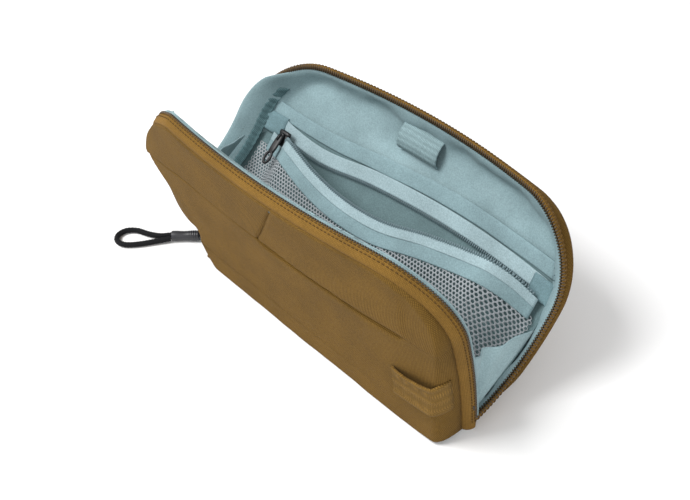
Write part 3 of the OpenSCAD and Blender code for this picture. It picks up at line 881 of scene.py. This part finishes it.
def mesh_face(x, s, lift=0.0):
    """A point of the mesh front, s up from its foot; its ends come back to the pocket's sides."""
    x, s = np.broadcast_arrays(np.asarray(x, float), np.asarray(s, float))
    lean = math.radians(33)
    q = np.clip(s / mouth_line(x), 0, 1.05)
    belly = 3.0 * np.sin(math.pi * np.clip(q, 0, 1)) + lift
    y = 10.5 + s * math.sin(lean) - belly * math.cos(lean)
    z = 8.8 + s * math.cos(lean) + belly * math.sin(lean)
    hung = np.stack([x, y, z], -1)
    v = 9 + q * (tape_line(x) - 11)
    held = back(x, v, slip_depth(x, v) - 2.0 - lift)
    free = (eased(-87, -58, x) * (1 - eased(72, 100, x)))[..., None]
    return held * (1 - free) + hung * free


def mesh_net(name, x0, x1, pitch, open_share):
    """Hexagonal holes in rows across the mesh front, up to its hem."""
    side = pitch / math.sqrt(3)
    points, keys, faces = [], {}, []

    def corner(px, ps):
        key = (round(px * 50), round(ps * 50))
        if key not in keys:
            keys[key] = len(points)
            points.append((px, ps))
        return keys[key]

    row, s = 0, side
    while s < 60:
        x = x0 + (pitch / 2 if row % 2 else 0)
        while x < x1:
            if s < mouth_line(x) - 10.5:
                ring = [(x + side * math.sin(k * math.pi / 3), s + side * math.cos(k * math.pi / 3))
                        for k in range(6)]
                outer = [corner(*p) for p in ring]
                start = len(points)
                points.extend((x + open_share * (p[0] - x), s + open_share * (p[1] - s)) for p in ring)
                inner = [start + k for k in range(6)]
                for k in range(6):
                    j = (k + 1) % 6
                    faces.append((outer[k], outer[j], inner[j], inner[k]))
            x += pitch
        s += side * 1.5
        row += 1
    flat = np.array(points)
    top = mesh_face(flat[:, 0], flat[:, 1], 0.2)
    low = mesh_face(flat[:, 0], flat[:, 1], -0.2)
    quads = np.array(faces)
    n = len(flat)
    edges = dict.fromkeys((f[k], f[(k + 1) % 4]) for f in faces for k in range(4))
    walls = [(b, a, a + n, b + n) for a, b in edges if (b, a) not in edges]
    mesh = bpy.data.meshes.new(name)
    both = np.concatenate([top, low]) * MM
    mesh.from_pydata(both.tolist(), [], quads.tolist() + (quads[:, ::-1] + n).tolist() + walls)
    lay_flat(mesh, np.concatenate([flat, flat]))
    return finish_mesh(name, mesh)


def follow_mesh(piece):
    """Bakes the piece's placement into its mesh."""
    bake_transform(piece)


net_yarn = cloth("net_yarn", (0.43, 0.46, 0.48), weave=0.3, depth=0.3, rough=0.6)
net = mesh_net("pocket_mesh", -97, 99, 2.1, 0.68)
dress(net, net_yarn, follow_mesh, "mesh", "mesh_panel")


def mouth_band(name, low, high, lift, thick, material, node_name, seed):
    """A strip along the mesh front's mouth, from low to high below its coil edge."""
    X, T = np.meshgrid(np.linspace(-92, 97, 130), np.linspace(0, 1, 12))
    grid = mesh_face(X, mouth_line(X) - low + (low - high) * T, lift)
    grid += 0.25 * wobble(grid, 7, seed)[..., None] * np.array([0, -0.8, 0.5])
    piece = cloth_shell(name, grid, thick, INTO_POUCH)
    dress(piece, material, follow_mesh, "pocket_tape", node_name)


mouth_band("pocket_mesh_hem", 12.5, 5.2, 0.9, 1.2, hem_cloth, "mesh_hem", 61)
mouth_band("pocket_lower_tape", 5.6, 0.6, 1.2, 0.7, tape_light, "pocket_tape_lower", 62)
x = np.arange(-88, 95, POCKET_TURN)
at = mesh_face(x, mouth_line(x) - 0.1, 1.1)
above = mesh_face(x, mouth_line(x) - 0.1, 2.1)
pocket_coil("pocket_lower_coil", at, above - at, follow_mesh, "pocket_coil_lower")

# ---- Side gussets ----
# A fan of lining at each end joins the halves and folds inwards between them.


def join_halves(piece):
    """Bakes the piece's placement into its mesh."""
    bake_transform(piece)


def gusset_piece(name, side, node_name, seed):
    """One gusset, from the lower back's rim over to the front's."""
    T, R = np.meshgrid(np.linspace(0, 1, 46), np.linspace(0.04, 1, 26))
    angle = np.radians(-9 + 66 * T)
    arch = np.sin(math.pi * T)
    reach = 38 + 2 * T + 8 * T**4 - (7.5 if side > 0 else 6) * arch
    tuck = (5 if side > 0 else 7.5) * arch**1.3 * R + 1.4 * np.sin(5 * math.pi * T) * R * arch
    x = side * ((106.2 if side > 0 else 103) - tuck)
    y = R * reach * np.sin(angle)
    z = FOLD - 1.5 + R * reach * np.cos(angle)
    grid = np.stack([x, y, z], -1)
    grid[..., 0] += side * 0.8 * wobble(grid, 9, seed) * arch
    piece = cloth_shell(name, grid, LINING_THICK, (side, 0, 0))
    dress(piece, lining_cloth, join_halves, "lining", node_name)


gusset_piece("side_gusset_left", -1, "gusset_left", 71)
gusset_piece("side_gusset_right", 1, "gusset_right", 72)

# ---- Pocket slider and puller ----
# A small black slider on the mesh pocket's coil. Its flat puller hangs from a wire eye and
# ends in an open loop.


def joined(name, meshes):
    """Several small closed meshes as one piece."""
    points, faces = [], []
    for p, f in meshes:
        shift = len(points)
        points += [tuple(q) for q in p]
        faces += [tuple(i + shift for i in face) for face in f]
    mesh = bpy.data.meshes.new(name)
    mesh.from_pydata([tuple(np.array(p) * MM) for p in points], [], faces)
    return finish_mesh(name, mesh)


def block(centre, axes, half, power=5.0):
    """A softened block: centre in mm, three axis vectors and half sizes."""
    rings, sides = 8, 16
    points = []
    for a in np.linspace(-math.pi / 2, math.pi / 2, rings + 1):
        for b in np.linspace(0, 2 * math.pi, sides, endpoint=False):
            p = np.array([math.cos(a) * math.cos(b), math.cos(a) * math.sin(b), math.sin(a)])
            p = p / (np.sum(np.abs(p) ** power) ** (1 / power))
            points.append(centre + sum(p[k] * half[k] * axes[k] for k in range(3)))
    return points, tube_faces(rings + 1, sides, capped=True)


def pipe(line, radius, sides=10, closed=False):
    """A round bar along a line of points in mm; radius may be one number or one for each point."""
    line = np.array(line, float)
    n = len(line)
    radii = np.broadcast_to(radius, (n,))
    tangent = np.gradient(line, axis=0)
    if closed:
        tangent = np.roll(line, -1, 0) - np.roll(line, 1, 0)
    tangent /= np.linalg.norm(tangent, axis=1, keepdims=True)
    side = np.cross(tangent[0], (0.0, 0.0, 1.0))
    if np.linalg.norm(side) < 0.1:
        side = np.cross(tangent[0], (0.0, 1.0, 0.0))
    points = []
    for i in range(n):
        side = side - (side @ tangent[i]) * tangent[i]
        side /= np.linalg.norm(side)
        other = np.cross(tangent[i], side)
        for k in range(sides):
            a = 2 * math.pi * k / sides
            points.append(line[i] + radii[i] * (math.cos(a) * side + math.sin(a) * other))
    return points, tube_faces(n, sides, closed, not closed)


black_paint = plastic("black_paint", (0.005, 0.005, 0.006), rough=0.45)
low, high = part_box("pocket_slider")
slider_x = (low[0] + high[0]) * 500
slider_v = float(tape_line(slider_x)) - 0.5
slider_d = float(slip_depth(slider_x, slider_v)) - 6.4
x_axis = np.array([1.0, 0, 0])
seat = back(slider_x, slider_v, slider_d)
out_axis = back(slider_x, slider_v, slider_d - 1) - seat
up_axis = back(slider_x, slider_v + 1, slider_d) - seat
up_axis /= np.linalg.norm(up_axis)
axes = (x_axis, up_axis, out_axis)
ring = [seat + 2.6 * out_axis + 1.6 * (math.cos(a) * up_axis * 1.2 + math.sin(a) * out_axis)
        for a in np.linspace(0, 2 * math.pi, 16, endpoint=False)]
slider_small = joined("pocket_slider_body", [
    block(seat, axes, (3.6, 4.3, 0.9)),
    block(seat + 1.6 * out_axis, axes, (1.5, 3.2, 1.2)),
    block(seat + 3.2 * up_axis, axes, (4.0, 1.3, 1.4)),
    pipe(ring, 0.55, 8, True)])
dress(slider_small, black_paint, "pocket_slider", "slider", "pocket_slider")

hang = 0.16 * out_axis - up_axis
hang /= np.linalg.norm(hang)
start = seat + 2.6 * out_axis + 1.0 * up_axis
flat_axis = np.cross(x_axis, hang)
loop_line = []
for t in np.linspace(0, 1, 40, endpoint=False):
    a = 2 * math.pi * t
    loop_line.append(start + hang * (13.6 + 3.6 * math.cos(a)) + x_axis * 1.9 * math.sin(a))
small_puller = joined("pocket_puller_body", [
    block(start + hang * 5.0, (x_axis, hang, flat_axis), (2.1, 6.0, 0.8)),
    pipe(loop_line, 0.75, 8, True)])
dress(small_puller, black_paint, "pocket_puller", "slider", "pocket_puller")

# ---- Main slider with its link, sleeve and cord ----
# The main zip's slider stands at the lower left corner. A link joins it to a loop of braided
# cord whose ends are held in a shrunk sleeve; the loop lies on the table.

low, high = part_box("main_slider")
seat = (np.array(low) + np.array(high)) * 500
lean = math.radians(15)
v_axis = np.array([0, -math.sin(lean), math.cos(lean)])
d_axis = np.array([0, -math.cos(lean), -math.sin(lean)])
turn = math.radians(-112)
radial = math.cos(turn) * x_axis + math.sin(turn) * v_axis
run = -math.sin(turn) * x_axis + math.cos(turn) * v_axis
slider_big = joined("main_slider_body", [
    block(seat + 0.2 * d_axis, (run, radial, d_axis), (6.2, 3.6, 1.5)),
    block(seat + 2.6 * radial + 0.6 * d_axis, (run, radial, d_axis), (4.6, 1.3, 1.6))])
dress(slider_big, black_paint, "main_slider", "slider", "main_slider")

link_in = np.array([-89.3, -4.6, 9.2])
link_out = np.array([-82.05, -9.45, 3.22])
sleeve_in = np.array([-83.0, -10.5, 3.2])
sleeve_out = np.array([-92.9, -21.3, 3.0])
link_line = [link_in + (link_out - link_in) * t for t in np.linspace(0, 1.05, 12)]
link_piece = joined("slider_link_wire", [pipe(link_line, 1.1, 10), block(
    link_in, (x_axis, v_axis, d_axis), (1.7, 1.7, 1.4), 2.5)])
dress(link_piece, black_paint, "pull", "slider", "slider_link")

sleeve_skin = plastic("sleeve_skin", (0.02, 0.02, 0.024), rough=0.38, bumps=0.3)
reach = np.linspace(-0.05, 1.02, 60)
sleeve_line = [sleeve_in + (sleeve_out - sleeve_in) * t for t in reach]
swell = 2.75 + 0.25 * np.sin(reach * 9) * 0.5 + 0.12 * np.sin(reach * 75) * (reach < 0.35)
swell = swell * (1 - 0.35 * np.clip((np.abs(reach - 0.485) - 0.5) / 0.04, 0, 1) ** 2)
sleeve_piece = joined("pull_sleeve_tube", [pipe(sleeve_line, swell, 22)])
dress(sleeve_piece, sleeve_skin, "pull", "sleeve", "pull_sleeve")

CORD = ((-94.4, -20.8, 2.4), (-98.4, -25.4, 2), (-104.5, -29, 1.7), (-111, -31.8, 1.7), (-115, -36.2, 1.7),
        (-115, -41.5, 1.7), (-111.3, -44.8, 1.7), (-106, -43.8, 1.7), (-101, -38, 1.7), (-96.2, -29.8, 2),
        (-92.2, -22.8, 2.4))
route = np.array(CORD, float)
cord_line = []
for i in range(len(route) - 1):
    p0, p1 = route[max(i - 1, 0)], route[i]
    p2, p3 = route[i + 1], route[min(i + 2, len(route) - 1)]
    for t in np.linspace(0, 1, 14, endpoint=False):
        cord_line.append(0.5 * (2 * p1 + (p2 - p0) * t + (2 * p0 - 5 * p1 + 4 * p2 - p3) * t * t
                                + (3 * p1 - p0 - 3 * p2 + p3) * t**3))
cord_line.append(route[-1])
cord_line = np.array(cord_line)
gone = np.concatenate([[0], np.cumsum(np.linalg.norm(np.diff(cord_line, axis=0), axis=1))])
cord_length = gone[-1]
even = np.linspace(0, cord_length, 320)
cord_line = np.stack([np.interp(even, gone, cord_line[:, k]) for k in range(3)], 1)
points, faces = pipe(cord_line, 1.5, 20)
points = np.array(points).reshape(len(cord_line), 20, 3)
braid = np.zeros((len(cord_line), 20))
for k in range(20):
    a = 2 * math.pi * k / 20
    braid[:, k] = 0.1 * np.abs(np.sin(even * 1.9 + 2 * a)) * np.abs(np.sin(even * 1.9 - 2 * a)) * 1.6
points = cord_line[:, None] + (points - cord_line[:, None]) * (0.93 + braid)[..., None]
cord_yarn = cloth("cord_yarn", (0.014, 0.014, 0.016), weave=0.5, depth=0.4, rough=0.7)
cord_piece = joined("pull_cord_braid", [(points.reshape(-1, 3), faces)])
dress(cord_piece, cord_yarn, "pull", "cord", "pull_cord")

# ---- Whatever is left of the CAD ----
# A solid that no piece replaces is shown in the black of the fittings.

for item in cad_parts.values():
    if not item.hide_render:
        paint(item, black_paint)
